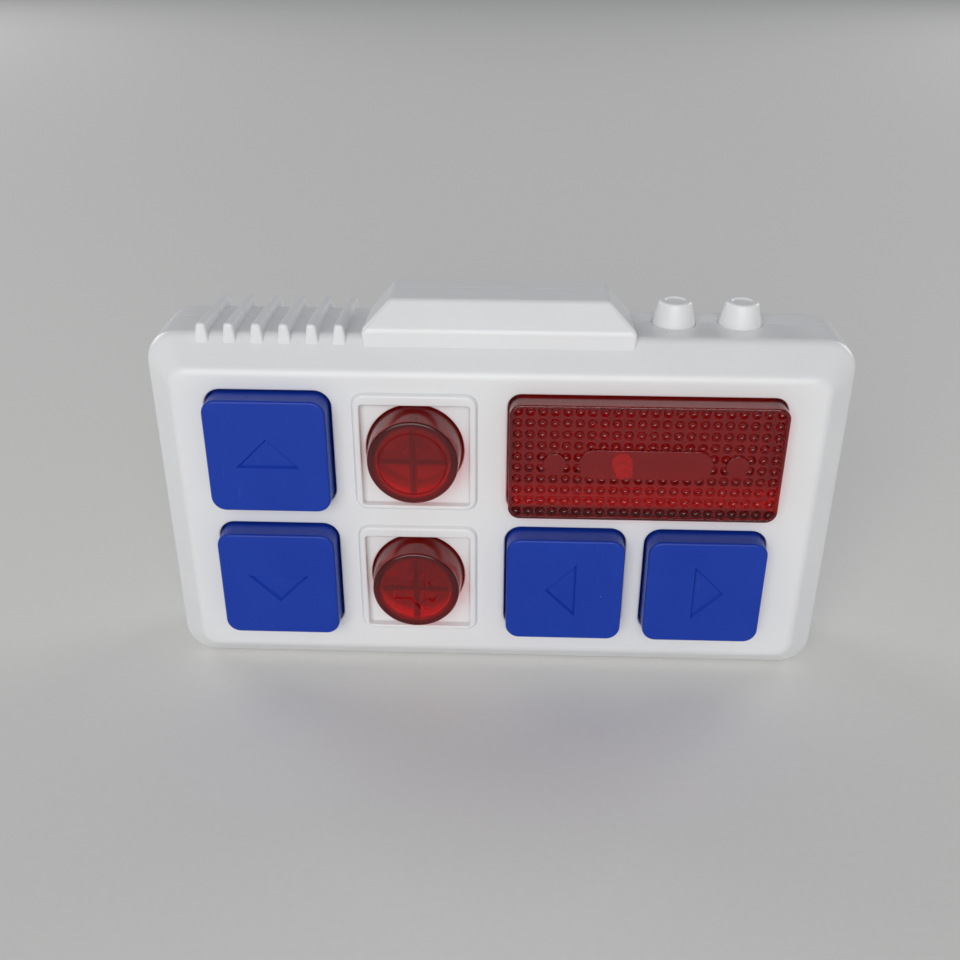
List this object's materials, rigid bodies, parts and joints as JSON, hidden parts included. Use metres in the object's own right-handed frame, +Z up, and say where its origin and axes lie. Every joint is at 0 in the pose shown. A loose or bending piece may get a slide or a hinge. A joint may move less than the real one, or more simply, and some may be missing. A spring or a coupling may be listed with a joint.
{
  "type": "electronic game caller",
  "caption": "Hand-held push-key sound box: flat chamfered two-shell case, square arrow keys, round lit-through buttons, dotted red signal lens, ribs, block and pegs on top.",
  "frame": {"origin": "middle of the whole object's box at its base, standing on its long bottom edge", "axes": "+X along the length to the right of the key face, +Y from the key face to the rear, +Z up"},
  "size_m": [0.12, 0.0288, 0.0714],
  "materials": {
    "white_plastic": "satin moulded",
    "blue_plastic": "satin moulded",
    "red_clear_plastic": "clear red, polished",
    "grey_rubber": "matt",
    "board_laminate": "bare paper laminate",
    "black_plastic": "matt",
    "screw_steel": "zinc plated",
    "plated_steel": "nickel plated",
    "cone_film": "pressed film",
    "cell_wrap": "shrink sleeve",
    "red_insulation": "soft plastic"
  },
  "bodies": {
    "case": {"front_shell": "white_plastic", "rear_shell": "white_plastic", "top_peg_left": "white_plastic", "top_peg_right": "white_plastic", "display_lens": "red_clear_plastic", "signal_lamp": "red_clear_plastic", "dome_up": "grey_rubber", "dome_down": "grey_rubber", "dome_left": "grey_rubber", "dome_right": "grey_rubber", "dome_round_upper": "grey_rubber", "dome_round_lower": "grey_rubber", "circuit_board": "board_laminate", "sound_chip": "black_plastic", "board_screw_low_left": "screw_steel", "board_screw_low_right": "screw_steel", "board_screw_high_left": "screw_steel", "board_screw_high_right": "screw_steel", "case_screw_low_left": "screw_steel", "case_screw_low_right": "screw_steel", "case_screw_high_left": "screw_steel", "case_screw_high_right": "screw_steel", "speaker_basket": "plated_steel", "speaker_cone": "cone_film", "speaker_magnet": "plated_steel", "speaker_clamp": "black_plastic", "clamp_screw_left": "screw_steel", "clamp_screw_right": "screw_steel", "cell_upper": "cell_wrap", "cell_lower": "cell_wrap", "contact_plate": "plated_steel", "contact_spring": "plated_steel", "contact_bridge": "plated_steel", "battery_lead_red": "red_insulation", "battery_lead_black": "black_plastic", "speaker_lead_red": "red_insulation", "speaker_lead_black": "black_plastic"},
    "up_key": {"key_up": "blue_plastic"},
    "down_key": {"key_down": "blue_plastic"},
    "left_key": {"key_left": "blue_plastic"},
    "right_key": {"key_right": "blue_plastic"},
    "upper_button": {"round_button_upper": "red_clear_plastic"},
    "lower_button": {"round_button_lower": "red_clear_plastic"},
    "cover": {"battery_cover": "white_plastic", "cover_screw": "screw_steel"}
  },
  "joints": [
    {"name": "up_key_push", "type": "slide", "parent": "case", "child": "up_key", "axis": [0, 1, 0], "range_m": [0, 0.001], "stiffness_N_per_m": 1200, "springref_m": -0.0005, "deforming": ["dome_up"]},
    {"name": "down_key_push", "type": "slide", "parent": "case", "child": "down_key", "axis": [0, 1, 0], "range_m": [0, 0.001], "stiffness_N_per_m": 1200, "springref_m": -0.0005, "deforming": ["dome_down"]},
    {"name": "left_key_push", "type": "slide", "parent": "case", "child": "left_key", "axis": [0, 1, 0], "range_m": [0, 0.001], "stiffness_N_per_m": 1200, "springref_m": -0.0005, "deforming": ["dome_left"]},
    {"name": "right_key_push", "type": "slide", "parent": "case", "child": "right_key", "axis": [0, 1, 0], "range_m": [0, 0.001], "stiffness_N_per_m": 1200, "springref_m": -0.0005, "deforming": ["dome_right"]},
    {"name": "upper_button_push", "type": "slide", "parent": "case", "child": "upper_button", "axis": [0, 1, 0], "range_m": [0, 0.001], "stiffness_N_per_m": 1200, "springref_m": -0.0005, "deforming": ["dome_round_upper"]},
    {"name": "lower_button_push", "type": "slide", "parent": "case", "child": "lower_button", "axis": [0, 1, 0], "range_m": [0, 0.001], "stiffness_N_per_m": 1200, "springref_m": -0.0005, "deforming": ["dome_round_lower"]},
    {"name": "cover_release", "type": "slide", "parent": "case", "child": "cover", "axis": [0, 1, 0], "range_m": [0, 0.03]}
  ]
}
